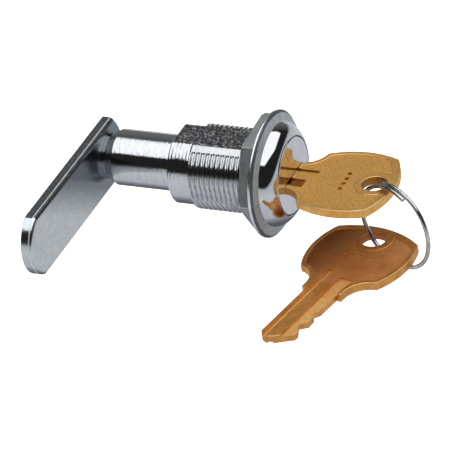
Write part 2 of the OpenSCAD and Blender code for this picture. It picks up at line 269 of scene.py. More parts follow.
# the spare key's panel darkens across towards one side: painted shade
COPPER_PANEL_SHADED = metal("copper_panel_shaded", (0.95, 0.49, 0.19), (0.84, 0.4, 0.15), 2.6, (0.45, 0.58), 1.0,
                     [(0.35, 0.008), (0.12, 0.005)],
                     shade=((0.19, 0.98, 0), -20.0, -12.5, (0.42, 0.17, 0.05)))
COPPER_GROOVE = metal("copper_groove", (1.0, 0.68, 0.28), (0.92, 0.56, 0.2), 1.2, (0.56, 0.66), 0.5,
                      [(0.3, 0.004)])
# bevelled edges: metal worn bright, lightened further as painted highlight
COPPER_EDGE_WEAR_AND_HIGHLIGHT = metal("copper_edge_wear_and_highlight", (1.0, 0.62, 0.27), (0.9, 0.48, 0.17), 1.0, (0.32, 0.42), 0.6,
                    [(0.3, 0.004)])
# the crease round the panel and the hole's wall, darkened: painted shadow
COPPER_CREASE_SHADOW = metal("copper_crease_shadow", (0.5, 0.18, 0.05), (0.36, 0.11, 0.03), 1.0, (0.4, 0.5), 0.6,
                      [(0.3, 0.004)])
WAFER_BRASS = metal("wafer_brass", (0.72, 0.56, 0.26), (0.55, 0.4, 0.17), 1.5, (0.25, 0.4), 0.6,
                    [(0.2, 0.004)])


# ---- mesh helpers ----
# how strongly large faces decide the shading of the small ones beside them, in percent
FLAT_WEIGHT = 80
# corners closer than this are joined after a cut
WELD = 1e-4


def add_piece(name, bm, body, materials, replaces, smooth_angle):
    """Turns a bmesh in millimetres into a piece in metres that rides on a body."""
    bmesh.ops.scale(bm, vec=(MM, MM, MM), verts=bm.verts)
    mesh = bpy.data.meshes.new(name)
    bm.to_mesh(mesh)
    bm.free()
    mesh.shade_smooth()
    mesh.set_sharp_from_angle(angle=math.radians(smooth_angle))
    piece = bpy.data.objects.new(name, mesh)
    bpy.context.scene.collection.objects.link(piece)
    for made in materials:
        mesh.materials.append(made)
    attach(piece, body)
    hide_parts(*replaces)
    flats = piece.modifiers.new("flat faces stay flat", "WEIGHTED_NORMAL")
    flats.keep_sharp = True
    flats.weight = FLAT_WEIGHT
    return piece


def paint(bm, materials, choose):
    """Gives each face the one of the materials that choose(face) picks."""
    for face in bm.faces:
        face.material_index = materials.index(choose(face))


def ring_skin(rings, closed):
    """A skin through rings of points. If closed, the last joins the first; else the ends are capped."""
    bm = bmesh.new()
    rows = [[bm.verts.new(p) for p in ring] for ring in rings]
    count = len(rows)
    for i in range(count if closed else count - 1):
        a, b = rows[i], rows[(i + 1) % count]
        for k in range(len(a)):
            j = (k + 1) % len(a)
            bm.faces.new((a[k], b[k], b[j], a[j]))
    if not closed:
        bm.faces.new(rows[0])
        bm.faces.new(rows[-1][::-1])
    bmesh.ops.recalc_face_normals(bm, faces=bm.faces)
    return bm


def round_ring(r, y, angles):
    return [(r * math.cos(a), y, r * math.sin(a)) for a in angles]


def even_angles(count):
    return [TURN * i / count for i in range(count)]


def circle(centre, radius, count):
    return [(centre[0] + radius * math.cos(a), centre[1] + radius * math.sin(a))
            for a in even_angles(count)]


def arc(centre, radius, start, end, steps):
    """Points on an arc, from start to end degrees."""
    return [(centre[0] + radius * math.cos(math.radians(start + (end - start) * i / steps)),
             centre[1] + radius * math.sin(math.radians(start + (end - start) * i / steps)))
            for i in range(steps + 1)]


def lathe(profile, count):
    """A turned solid about Y from (radius, y) points between its two flat ends."""
    angles = even_angles(count)
    return ring_skin([round_ring(r, y, angles) for r, y in profile], closed=False)


def box_mesh(a, b):
    bm = bmesh.new()
    bmesh.ops.create_cube(bm, size=1)
    size, middle = Vector(b) - Vector(a), (Vector(a) + Vector(b)) / 2
    for v in bm.verts:
        v.co = Vector(x * s for x, s in zip(v.co, size)) + middle
    return bm


def prism(outline, z0, z1, place=Matrix()):
    """A prism over a 2-D outline, from z0 to z1, then moved by place."""
    bm = ring_skin([[(x, y, z) for x, y in outline] for z in (z0, z1)], closed=False)
    bmesh.ops.transform(bm, matrix=place, verts=bm.verts)
    return bm


# turns a prism that was drawn in X and Y, going up Z, into one drawn in X and Z, going along Y
ALONG_Y = Matrix(((1, 0, 0, 0), (0, 0, 1, 0), (0, 1, 0, 0), (0, 0, 0, 1)))


def combine(bm, cutters, operation="DIFFERENCE"):
    """Cuts each cutter from bm, or joins it on, and gives back a new bmesh."""
    made = []
    for source in [bm, *cutters]:
        bmesh.ops.recalc_face_normals(source, faces=source.faces)
        mesh = bpy.data.meshes.new("part")
        source.to_mesh(mesh)
        source.free()
        made.append(bpy.data.objects.new("part", mesh))
        bpy.context.scene.collection.objects.link(made[-1])
    body = made[0]
    for cutter in made[1:]:
        change = body.modifiers.new("cut", "BOOLEAN")
        change.operation = operation
        change.solver = "EXACT"
        change.object = cutter
    result = bmesh.new()
    result.from_object(body, bpy.context.evaluated_depsgraph_get())
    for item in made:
        mesh = item.data
        bpy.data.objects.remove(item)
        bpy.data.meshes.remove(mesh)
    bmesh.ops.remove_doubles(result, verts=result.verts, dist=WELD)
    return result


def bevel_edges(bm, width, angle, segments=2, keep=None):
    """Rounds the edges that are sharper than angle, in degrees, and that keep(edge) allows."""
    edges = [e for e in bm.edges
             if len(e.link_faces) == 2 and e.calc_face_angle(0) > math.radians(angle)
             and (keep is None or keep(e))]
    bmesh.ops.bevel(bm, geom=edges, offset=width, offset_type="OFFSET", segments=segments,
                    profile=0.5, affect="EDGES", clamp_overlap=True, miter_outer="ARC")


def soft_min(a, b, blend):
    """The smaller of two values, with a rounded change-over."""
    return min(a, b) - blend * math.log(1 + math.exp(-abs(a - b) / blend))


def soft_step(x):
    """0 below 0, 1 above 1, and a smooth rise between."""
    x = min(max(x, 0.0), 1.0)
    return x * x * (3 - 2 * x)


# ---- housing: head, threaded barrel with two flats, bore ----
FLAT_HALF = 7.95
FLAT_BLEND = 0.035
CREST_R = 9.525
ROOT_R = 9.025
LEAD_R = 8.8
BORE_R = 6.42
THREAD_END = 16.4
PITCH = 1.155
# the thread's section, as shares of a pitch: the width of a flank, and where the crest ends
FLANK = 0.24
CREST_END = 0.46
# where the thread grows out of the barrel and back into it: start or end, and over what length
THREAD_RISE = (0.2, 0.6)
THREAD_FALL = (THREAD_END + 0.15, 0.3)
# spacing and depth of the tool marks on the lead
TOOL_MARKS = (0.85, 0.022)
RECESS_R = FACE_R + 0.15
RECESS_FLOOR = -1.6
RECESS_LIP = 0.16
# the flange: its thickness at the dome's foot, the y where its rim ends, and the radius and y where the
# slope behind the rim ends
FLANGE_T = 1.75
FLANGE_RIM = -0.65
FLANGE_SLOPE = (FLANGE_R - 0.6, -1.2)
DOME_BASE = (11.8, -FLANGE_T)
DOME_R = 5
# the wafers' grooves: first and last y, how far they reach out, and half their width
WAFER_GROOVE = (1.45, 13.55, 7.35, 4.3)
# the retainer's groove: first and last y, and its radius
RETAINER_GROOVE = (18.25, 19.75, 7.1)
# how much y the wall of a groove takes up
GROOVE_WALL = 0.01
# columns of the housing's mesh, in degrees: their spacing, and a closer one where the flats' edges run
COLUMN = 2.6
FINE_COLUMN = 0.65
FINE_COLUMNS = (43.5, 66)


def housing_angles():
    quarter, angle = [], 0.0
    while angle < 89.9:
        quarter.append(angle)
        angle += FINE_COLUMN if FINE_COLUMNS[0] <= angle < FINE_COLUMNS[1] else COLUMN
    quarter = [a * 90 / angle for a in quarter]
    half = quarter + [180 - a for a in quarter[:0:-1]]
    half.insert(len(quarter), 90.0)
    return [math.radians(a + turn) for turn in (0, 180) for a in half]


def thread_height(phase):
    """One turn of the thread's section: 0 in the groove, 1 on the crest."""
    phase %= 1
    return soft_step(phase / FLANK) - soft_step((phase - CREST_END) / FLANK)


# At two opposite corners the barrel is slimmer beside the flat: its radius starts at the lead's and
# grows slowly, by LAND_GROWTH a radian. The grooves there begin at LAND_END, measured from the middle of
# the flat, and deepen over LAND_FADE.
LAND_START = math.acos(FLAT_HALF / LEAD_R)
LAND_GROWTH = 0.12
LAND_END = math.radians(37.5)
LAND_FADE = math.radians(1.4)


def barrel_radius(a, y):
    turned = (y / PITCH + a / TURN) % 1
    quarter = math.pi / 2
    from_flat = min(abs((a - side + math.pi) % TURN - math.pi) for side in (quarter, -quarter))
    crest, grooved = CREST_R, 1
    if math.sin(2 * a) < 0:
        crest = min(CREST_R, LEAD_R * math.exp(LAND_GROWTH * (from_flat - LAND_START)))
        grooved = soft_step((from_flat - LAND_END) / LAND_FADE)
    shape = crest - (CREST_R - ROOT_R) * grooved * (1 - thread_height(turned))
    start = soft_step((y - THREAD_RISE[0]) / THREAD_RISE[1])
    end = soft_step((THREAD_FALL[0] - y) / THREAD_FALL[1])
    mark_pitch, mark_depth = TOOL_MARKS
    lead = LEAD_R - mark_depth * (1 - math.cos(TURN * y / mark_pitch)) / 2
    r = lead + (shape - lead) * end * start
    flat = FLAT_HALF / max(abs(math.sin(a)), 0.05)
    return soft_min(r, flat, FLAT_BLEND)


def bore_radius(a, y):
    """The bore, with two broad grooves for the wafers and a round one for the retainer."""
    y0, y1, reach, half = WAFER_GROOVE
    r = BORE_R
    if y0 <= y <= y1:
        for turn in (0, -90):
            t = (a - math.radians(turn) + math.pi) % TURN - math.pi
            if abs(t) < math.pi / 2:
                r = max(r, min(reach / math.cos(t), half / max(abs(math.sin(t)), 1e-6)))
    if RETAINER_GROOVE[0] <= y <= RETAINER_GROOVE[1]:
        r = RETAINER_GROOVE[2]
    return r


def dome_arc():
    """The dome's arc, from the edge of the recess out to the dome's foot."""
    a, b = Vector(DOME_BASE), Vector((RECESS_R, FACE_Y))
    chord = b - a
    drop = math.sqrt(DOME_R ** 2 - (chord.length / 2) ** 2)
    across = Vector((chord.y, -chord.x)).normalized()
    centre = (a + b) / 2 + drop * across
    start = math.degrees(math.atan2(b.y - centre.y, b.x - centre.x))
    end = math.degrees(math.atan2(a.y - centre.y, a.x - centre.x))
    return arc(centre, DOME_R, start + 2.0, end, 18)


# mesh rows over one turn of the thread, the first row's y, the room left before the rounded end, its
# radius, and the fillet where the barrel meets the flange
ROWS_PER_PITCH = 10
FIRST_ROW = 0.1
LAST_ROW_ROOM = 0.2
BARREL_ROUND = 0.2
BARREL_FILLET = 0.12


def head_profile():
    """(radius, y) points from the bore, out over the dome and the flange, to the barrel's foot."""
    lip = RECESS_LIP
    points = [(BORE_R, RECESS_FLOOR), (BORE_R + 0.4, RECESS_FLOOR), (RECESS_R - 0.4, RECESS_FLOOR),
              (RECESS_R, RECESS_FLOOR), (RECESS_R, RECESS_FLOOR - 0.5), (RECESS_R, FACE_Y + lip + 0.1)]
    points += arc((RECESS_R + lip, FACE_Y + lip + 0.02), lip, 180, 255, 4)
    points += dome_arc()
    slope_r, slope_y = FLANGE_SLOPE
    points += [(DOME_BASE[0] + 0.1, -FLANGE_T + 0.01), (DOME_BASE[0] + 0.35, -FLANGE_T + 0.1),
               (slope_r - 0.12, slope_y - 0.04), (slope_r, slope_y), (slope_r + 0.07, slope_y + 0.09),
               (FLANGE_R - 0.05, FLANGE_RIM - 0.06), (FLANGE_R, FLANGE_RIM + 0.02), (FLANGE_R, -0.24),
               (FLANGE_R - 0.06, -0.16), (FLANGE_R - 0.26, -0.02), (FLANGE_R - 0.34, 0),
               (12.0, 0), (10.2, 0)]
    return points


def housing_finish(face):
    middle = face.calc_center_median()
    out = math.hypot(middle.x, middle.z)
    if middle.y > 0.05 and out > FLAT_HALF - 0.2:
        if abs(face.normal.z) > 0.995 and abs(abs(middle.z) - FLAT_HALF) < 0.05:
            return CHROME_CAST
        return CHROME_THREAD if middle.y < THREAD_END else CHROME_TURNED
    if middle.y > -FLANGE_T - 0.1 and out > DOME_BASE[0] + 0.1:
        # the rim takes the painted highlight, the slope in front of it the painted shade
        if middle.y > FLANGE_RIM - 0.07 and out > FLANGE_SLOPE[0]:
            return CHROME_RIM_HIGHLIGHT
        return CHROME_SLOPE_SHADE if out > FLANGE_SLOPE[0] + 0.02 else CHROME_SATIN
    return CHROME


def make_housing():
    angles = housing_angles()

    def ring(radius_at, y, inset=0.0):
        radii = [radius_at(a, y) - inset for a in angles]
        return [(r * math.cos(a), y, r * math.sin(a)) for r, a in zip(radii, angles)]

    rings = [round_ring(r, y, angles) for r, y in head_profile()]
    rings.append(ring(barrel_radius, 0, -BARREL_FILLET))
    step = PITCH / ROWS_PER_PITCH
    rows = int((BARREL_END - BARREL_ROUND - LAST_ROW_ROOM) / step)
    rings += [ring(barrel_radius, FIRST_ROW + i * step) for i in range(rows)]
    for i in range(5):
        t = math.radians(90 * i / 4)
        y = BARREL_END - BARREL_ROUND + BARREL_ROUND * math.sin(t)
        rings.append(ring(barrel_radius, y, BARREL_ROUND * (1 - math.cos(t))))
    rings.append(round_ring(7.2, BARREL_END, angles))
    rings.append(round_ring(BORE_R + 0.06, BARREL_END, angles))
    rings.append(ring(bore_radius, BARREL_END - 0.06))
    for y0, y1 in (RETAINER_GROOVE[:2], WAFER_GROOVE[:2]):
        rings += [ring(bore_radius, y) for y in (y1 + GROOVE_WALL, y1, y0, y0 - GROOVE_WALL)]
    bm = ring_skin(rings, closed=True)
    finishes = [CHROME, CHROME_CAST, CHROME_THREAD, CHROME_SATIN, CHROME_SLOPE_SHADE, CHROME_RIM_HIGHLIGHT,
                CHROME_TURNED]
    paint(bm, finishes, housing_finish)
    add_piece("housing_shell", bm, "housing", finishes, ["housing"], smooth_angle=50)


# ---- jam nut ----
NUT_ANGLE = math.radians(3.7)
NUT_CORNER_R = 13.2
NUT_CORNER_BLEND = 0.03
NUT_FACE_R = 10.4
NUT_BORE_R = 9.6
NUT_BORE_CHAMFER = 0.3
NUT_CHAMFER = 0.5
NUT_ROUND = 0.12
# where the mesh's columns stand on each side, in degrees from one of its corners
NUT_COLUMNS = (0, 0.4, 0.8, 1.3, 2, 3, 5, 9, 14, 19, 24, 30, 36, 41, 46, 51, 55, 57, 58, 58.7, 59.2,
               59.6)
# half the width of the painted highlight along each corner, in degrees
NUT_HIGHLIGHT_HALF_WIDTH = 0.9


def hexagon_radius(a):
    inner = NUT_CORNER_R * math.cos(math.pi / 6)
    r = 2 * NUT_CORNER_R
    for k in range(6):
        facing = math.cos(a - NUT_ANGLE - math.pi / 6 - k * math.pi / 3)
        if facing > 0.3:
            r = soft_min(r, inner / facing, NUT_CORNER_BLEND)
    return r


def nut_finish(face):
    middle = face.calc_center_median()
    turn = math.degrees(math.atan2(middle.z, middle.x) - NUT_ANGLE) % 60
    on_side = NUT_FRONT + 0.2 < middle.y < NUT_BACK - 0.2 and math.hypot(middle.x, middle.z) > 11
    # faces beside a corner get the painted highlight
    return NUT_CORNER_HIGHLIGHT if on_side and min(turn, 60 - turn) < NUT_HIGHLIGHT_HALF_WIDTH else NUT_ZINC


def make_nut():
    first = math.degrees(NUT_ANGLE)
    angles = [math.radians(first + 60 * k + column) for k in range(6) for column in NUT_COLUMNS]

    def ring(y, cut=math.inf, inset=0.0):
        radii = [min(hexagon_radius(a), cut) - inset for a in angles]
        return [(r * math.cos(a), y, r * math.sin(a)) for r, a in zip(radii, angles)]

    rim = NUT_CORNER_R - NUT_CHAMFER
    mouth = NUT_BORE_R + NUT_BORE_CHAMFER
    small = NUT_ROUND * 0.3
    rings = [round_ring(NUT_BORE_R, NUT_FRONT + NUT_BORE_CHAMFER, angles),
             round_ring(mouth, NUT_FRONT, angles), round_ring(NUT_FACE_R, NUT_FRONT, angles),
             ring(NUT_FRONT, rim, NUT_ROUND), ring(NUT_FRONT + small, rim, small),
             ring(NUT_FRONT + NUT_ROUND, rim)]
    rings += [ring(NUT_FRONT + y) for y in (NUT_CHAMFER, 1.0, 1.5, 2.0)]
    rings += [ring(NUT_BACK - NUT_CHAMFER), ring(NUT_BACK - NUT_ROUND, rim + NUT_ROUND),
              ring(NUT_BACK - small, rim, small), ring(NUT_BACK, rim, NUT_ROUND),
              round_ring(NUT_FACE_R, NUT_BACK, angles), round_ring(mouth, NUT_BACK, angles),
              round_ring(NUT_BORE_R, NUT_BACK - NUT_BORE_CHAMFER, angles)]
    bm = ring_skin(rings, closed=True)
    paint(bm, [NUT_ZINC, NUT_CORNER_HIGHLIGHT], nut_finish)
    add_piece("jam_nut", bm, "nut", [NUT_ZINC, NUT_CORNER_HIGHLIGHT], ["mounting_nut"], smooth_angle=25)


# ---- plug ----
CORE_R = 6.35
FACE_ROUND = 0.32
EXTENSION_END = 36.6
NECK_R = 5.2
NECK_START = EXTENSION_END + 1.7
SQUARE_HALF = 3.25
SCREW_HOLE_R = 2
SCREW_HOLE_DEPTH = 8
# the wafers' slots: how many, the first one's y, their spacing, half their width, and the two boxes
# that make one, each as low x, low z, high x, high z
WAFERS = 5
WAFER_Y = 2.7
WAFER_PITCH = 2.4
WAFER_SLOT_HALF = 0.62
WAFER_SLOT = ((-8, -4.05, 8, 2.05), (-4, 2.0, 8, 4.05))
# the retainer's slot, as two corners, and its spring's pocket: radius, y, lowest and highest z
RETAINER_SLOT = ((-2.85, 18.35, -3.2), (2.85, 19.65, 8))
RETAINER_POCKET = (1.1, 19, -5.6, -2.5)
# the stop's arc slot: radius, half width, two ends in degrees, first and last y
STOP_SLOT = (7.5, 0.75, -136.3, -43.7, -3.0, -1.1)
# the key's blade and neck, and its grooves: lower v, upper v and last u
KEY_HALF_T = KEY_T / 2
BLADE_HALF = 3.8
NECK_HALF = 4.95
KEY_STOP = 2.6
KEY_TIP = -16.9
NARROW_GROOVE = (1.8, 2.8, 10.35)
WIDE_GROOVE = (-4.1, -1.15, 8.6)
UNDER_GROOVE = (0.3, 1.6, 8.2)
GROOVE_DEPTH = 0.5
SLACK = 0.15


def keyway_outline():
    half = BLADE_HALF + SLACK
    top = KEY_HALF_T + SLACK
    deep = top - GROOVE_DEPTH + SLACK
    a, b = NARROW_GROOVE[0] + SLACK, NARROW_GROOVE[1] - SLACK
    step = WIDE_GROOVE[1] - SLACK
    points = [(-half, -top), (half, -top), (half, top), (b, top), (b, deep), (a, deep), (a, top),
              (step, top), (step, deep), (-half, deep)]
    return [(x, z + KEY_Z) for x, z in points]


def plug_profile():
    """(radius, y) points from the face to the end of the neck."""
    points = arc((FACE_R - FACE_ROUND, FACE_Y + FACE_ROUND), FACE_ROUND, -90, 0, 5)
    points += [(FACE_R, -2.0), (FACE_R, RECESS_FLOOR - 0.1), (CORE_R, RECESS_FLOOR - 0.1)]
    points += [(CORE_R, y) for y in (1, 8, 15, 21, 25, 29, 33)]
    points += arc((CORE_R - 0.5, EXTENSION_END - 0.5), 0.5, 0, 50, 5)
    points += arc((NECK_R + 0.4, NECK_START + 0.1), 0.4, 215, 180, 4)
    return points + [(NECK_R, CAM_FRONT - 0.02)]


def plug_cutters():
    """The keyway and its mouth, the wafers' and retainer's slots, the screw's hole, the stop's slot."""
    cutters = [prism(keyway_outline(), FACE_Y - 1, -KEY_TIP + 0.4, ALONG_Y)]
    mouth = NECK_HALF + SLACK
    cutters.append(box_mesh((-mouth, FACE_Y - 1, KEY_Z - KEY_HALF_T - SLACK),
                            (mouth, -KEY_STOP + 0.1, KEY_Z + KEY_HALF_T + SLACK)))
    for i in range(WAFERS):
        y = WAFER_Y + WAFER_PITCH * i
        for x0, z0, x1, z1 in WAFER_SLOT:
            cutters.append(box_mesh((x0, y - WAFER_SLOT_HALF, z0), (x1, y + WAFER_SLOT_HALF, z1)))
    cutters.append(box_mesh(*RETAINER_SLOT))
    radius, y, z0, z1 = RETAINER_POCKET
    cutters.append(prism(circle((0, 0), radius, 24), z0, z1, Matrix.Translation((0, y, 0))))
    hole_end = CAM_FRONT - SCREW_HOLE_DEPTH
    cutters.append(prism(circle((0, 0), SCREW_HOLE_R, 32), hole_end, CAM_BACK + 1, ALONG_Y))
    orbit, half, first, last, y0, y1 = STOP_SLOT
    start, sweep = math.radians(first), math.radians(last) - math.radians(first)
    there = [start + sweep * i / 24 for i in range(25)]
    back = [math.radians(last) - sweep * i / 24 for i in range(25)]
    slot = [(r * math.cos(a), r * math.sin(a))
            for r, turns in ((orbit + half, there), (orbit - half, back)) for a in turns]
    cutters.append(prism(slot, y0, y1, ALONG_Y))
    return cutters


def plug_finish(face):
    return CHROME_TURNED if face.calc_center_median().y > RECESS_FLOOR else CHROME


def make_plug():
    half = SQUARE_HALF
    square = box_mesh((-half, CAM_FRONT - 1, -half), (half, CAM_BACK - 0.2, half))
    bm = combine(lathe(plug_profile(), count=144), [square], "UNION")
    bm = combine(bm, plug_cutters())

    def mouth_edge(e):
        return all(abs(v.co.y - FACE_Y) < 1e-3 for v in e.verts) and \
            max(math.hypot(v.co.x, v.co.z) for v in e.verts) < FACE_R - 0.5

    bevel_edges(bm, width=0.12, angle=40, segments=3, keep=mouth_edge)
    paint(bm, [CHROME, CHROME_TURNED], plug_finish)
    add_piece("plug_turned", bm, "plug", [CHROME, CHROME_TURNED], ["plug"], smooth_angle=32)


# ---- cam, washer and screw ----
CAM_HEAD_R = 10.7
CAM_TIP_R = 8.4
CAM_FRONT_ROUND = 0.95
CAM_BACK_ROUND = 0.15
CAM_HOLE_HALF = SQUARE_HALF + 0.05
# extra corners along the cam's straight edges, so that its shading stays even
CAM_STOPS = (-4, -12, -20)


def cam_outline():
    """The cam's outline: two straight edges, an arc at the head and one at the tip."""
    head_turn = math.degrees(math.asin(CAM_HALF / CAM_HEAD_R))
    tip_turn = math.degrees(math.asin(CAM_HALF / CAM_TIP_R))
    points = arc((CAM_HEAD - CAM_HEAD_R, 0), CAM_HEAD_R, -head_turn, head_turn, 24)
    points += [(x, CAM_HALF) for x in CAM_STOPS]
    points += arc((CAM_TIP + CAM_TIP_R, 0), CAM_TIP_R, 180 - tip_turn, 180 + tip_turn, 24)
    return points + [(x, -CAM_HALF) for x in CAM_STOPS[::-1]]


def inset(points, width):
    """An anticlockwise outline drawn in by width, corner by corner."""
    made = []
    count = len(points)
    for i in range(count):
        a, p, b = Vector(points[i - 1]), Vector(points[i]), Vector(points[(i + 1) % count])
        d1, d2 = (p - a).normalized(), (b - p).normalized()
        n1, n2 = Vector((-d1.y, d1.x)), Vector((-d2.y, d2.x))
        middle = (n1 + n2).normalized()
        made.append(tuple(p + middle * width / max(middle.dot(n1), 0.3)))
    return made


def rounded_plate(points, y0, y1, front, back):
    """A plate over a convex X-Z outline with rounded edges of radius front and back."""
    rings = []
    for y, away, radius, steps in ((y0, 1, front, 6), (y1, -1, back, 3)):
        turns = [math.radians(90 * i / steps) for i in range(steps + 1)][::-away]
        rings += [(y + away * radius * (1 - math.sin(t)), inset(points, radius * (1 - math.cos(t))))
                  for t in turns]
    return ring_skin([[(x, y, z) for x, z in ring] for y, ring in rings], closed=False)


def cam_finish(face):
    """The front, the sheared sides and two bands of the rolled edge, one a painted highlight and one
    painted shade, by which way a face looks.
    """
    middle, normal = face.calc_center_median(), face.normal
    if normal.y < -0.97:
        return CAM_FACE_SHADED
    if abs(normal.z) > 0.999 and middle.y > CAM_FRONT + 0.5 and math.hypot(middle.x, middle.z) > 5:
        return CAM_SHEARED
    if -0.32 < normal.y < -0.1:
        return CAM_HIGHLIGHT_LINE
    if normal.y < -0.3 and normal.z > 0.2 and abs(normal.x) < 0.05:
        return CAM_ROLL_SHADE
    return CAM_ZINC


def make_cam():
    bm = rounded_plate(cam_outline(), CAM_FRONT, CAM_BACK, CAM_FRONT_ROUND, CAM_BACK_ROUND)
    half = CAM_HOLE_HALF
    bm = combine(bm, [box_mesh((-half, CAM_FRONT - 1, -half), (half, CAM_BACK + 1, half))])
    bm.normal_update()
    finishes = [CAM_ZINC, CAM_FACE_SHADED, CAM_SHEARED, CAM_HIGHLIGHT_LINE, CAM_ROLL_SHADE]
    paint(bm, finishes, cam_finish)
    add_piece("cam_arm", bm, "plug", finishes, ["cam"], smooth_angle=30)


TEETH = 10
WASHER_ROOT_R = 4.3
WASHER_TIP_R = 5.0
WASHER_HOLE_R = 2.11
# one tooth's corners, as shares of the spacing from its middle
TOOTH = ((-0.30, WASHER_ROOT_R), (-0.13, WASHER_TIP_R), (0.13, WASHER_TIP_R), (0.30, WASHER_ROOT_R))


def make_washer():
    outline = []
    for i in range(TEETH):
        for turn, r in TOOTH:
            a = TURN * (i + turn) / TEETH
            outline.append((r * math.cos(a), r * math.sin(a)))
    bm = prism(outline, CAM_BACK, WASHER_BACK, ALONG_Y)
    hole = prism(circle((0, 0), WASHER_HOLE_R, 48), CAM_BACK - 1, WASHER_BACK + 1, ALONG_Y)
    bm = combine(bm, [hole])
    bevel_edges(bm, width=0.08, angle=30)
    add_piece("star_washer", bm, "plug", [STEEL], ["lock_washer"], smooth_angle=30)


SCREW_HEAD_R = 4.0
SCREW_HEAD_T = 1.6
SHANK_R = 1.96
SHANK_TIP = (1.7, CAM_FRONT - 7)
# the cross recess: half its length at the top and at the bottom, half a blade's thickness, and how far
# below the screw's end its slopes begin
CROSS_TOP = 2.2
CROSS_FOOT = 1.3
CROSS_HALF_T = 0.45
CROSS_SLOPE = 0.9


def make_screw():
    base = WASHER_BACK
    profile = [SHANK_TIP, (SHANK_R, SHANK_TIP[1] + 0.4), (SHANK_R, base)]
    profile += arc((SCREW_HEAD_R - 0.15, base + 0.15), 0.15, -90, 0, 3)
    profile += arc((SCREW_HEAD_R - 0.3, base + SCREW_HEAD_T - 0.3), 0.3, 0, 60, 4)
    profile += [(3.3, SCREW_END - 0.22), (2.6, SCREW_END - 0.07), (1.6, SCREW_END)]
    blade = [(-CROSS_TOP, SCREW_END + 1), (-CROSS_TOP, SCREW_END - CROSS_SLOPE), (-CROSS_FOOT, base + 1),
             (CROSS_FOOT, base + 1), (CROSS_TOP, SCREW_END - CROSS_SLOPE), (CROSS_TOP, SCREW_END + 1)]
    cutters = [prism(blade, -CROSS_HALF_T, CROSS_HALF_T, Matrix.Rotation(math.radians(turn), 4, "Y"))
               for turn in (45, 135)]
    bm = combine(lathe(profile, count=72), cutters)
    bevel_edges(bm, width=0.07, angle=40)
    add_piece("cam_screw_head", bm, "plug", [CAM_ZINC], ["cam_screw"], smooth_angle=32)


# ---- keys, in their own frame: u along the key towards the bow, v across it, towards the spine ----
# the bow's arcs: the side's centre u and v and its radius, the end's centre u and radius, and the neck's
# centre u and v and radius
BOW_SIDE = (18.4, 7.05, 19.0)
BOW_END = (8.85, 20.0)
NECK_ARC = (3.9, 10.6, 5.65)
BITTING = ((-16.5, 2.9), (KEY_TIP, 1.6), (-16.4, 0.2), (-13.6, -3.6), (-12.3, -3.6), (-9.9, -2.2),
           (-8.4, -BLADE_HALF), (-6.1, -3.65), (-5.1, -2.9), (-3.6, -3.75), (0.6, -BLADE_HALF))
SPINE_END = -15.3
HOLE_U = 24.1
HOLE_R = 2.8
BOSS_R = 4.5
RIM_SIDE = 1.2
RIM_END = 1.9
PANEL_START = 5.6
PANEL_DEPTH = 0.2
CREASE_DEPTH = 0.3
CREASE_WIDTH = 0.17
OUTER_ROUND = 0.24
INNER_ROUND = 0.17
# the row of dimples: how many, their u, spacing, radius, and depth below the panel
DIMPLES = (4, 17.2, 2, 0.55, 0.2)
# where the spare key's hole is, and how far the key is turned from the frame's X
SPARE_HOLE = Vector((0.1, -22.1, SPARE_Z))
SPARE_TURN = math.radians(-11)
# a key's materials: rim and sides, panel, grooves (on the lock's key darkened as painted shade), edges
# (worn and lightened as painted highlight), the crease round the panel and the hole's wall (darkened as
# painted shadow)
RIM, PANEL, GROOVE, EDGE, CREASE = range(5)


def crossing(c1, r1, c2, r2, upper):
    """Where two circles meet, on the side with the larger or smaller v."""
    a, b = Vector(c1), Vector(c2)
    d = (b - a).length
    along = (r1 * r1 - r2 * r2 + d * d) / (2 * d)
    off = math.sqrt(r1 * r1 - along * along)
    axis = (b - a) / d
    across = Vector((-axis.y, axis.x))
    found = [a + axis * along + across * off * s for s in (1, -1)]
    return max(found, key=lambda p: p.y if upper else -p.y)


def arc_between(centre, radius, start, end, steps, turn):
    """An arc from one point to another, turning the way that turn says (1 is anticlockwise)."""
    a = math.atan2(start[1] - centre[1], start[0] - centre[0])
    b = math.atan2(end[1] - centre[1], end[0] - centre[0])
    span = (b - a) * turn % TURN * turn
    return [(centre[0] + radius * math.cos(a + span * i / steps),
             centre[1] + radius * math.sin(a + span * i / steps)) for i in range(steps + 1)]


def bow_half(side, end, start_u):
    """The bow's upper edge from start_u to the middle of its end, drawn in by side and end."""
    side_c, side_r = (BOW_SIDE[0], -BOW_SIDE[1]), BOW_SIDE[2] - side
    end_c, end_r = (BOW_END[0], 0), BOW_END[1] - end
    neck_c, neck_r = (NECK_ARC[0], NECK_ARC[1]), NECK_ARC[2] + side
    # the neck's arc, from its lowest point to where it meets the side's arc
    meets = [p for p in (crossing(side_c, side_r, neck_c, neck_r, True),
                         crossing(side_c, side_r, neck_c, neck_r, False)) if p.y > 0]
    shoulder = max(meets, key=lambda p: p.x)
    corner = crossing(side_c, side_r, end_c, end_r, True)
    start_v = neck_c[1] - math.sqrt(neck_r ** 2 - (start_u - neck_c[0]) ** 2)
    points = arc_between(neck_c, neck_r, (start_u, start_v), shoulder, 12, 1)
    points += arc_between(side_c, side_r, shoulder, corner, 20, -1)[1:]
    points += arc_between(end_c, end_r, corner, (BOW_END[0] + end_r, 0), 16, -1)[1:]
    return points


def key_outline():
    upper = bow_half(0, 0, NECK_ARC[0])
    lower = [(u, -v) for u, v in upper[-2::-1]]
    neck = [(NECK_ARC[0] - 0.4, NECK_HALF), (KEY_STOP, NECK_HALF), (KEY_STOP, BLADE_HALF)]
    blade = [(SPINE_END, BLADE_HALF), *BITTING]
    return neck + blade + [(u, -v) for u, v in neck[::-1]] + lower[::-1] + upper[::-1][1:]


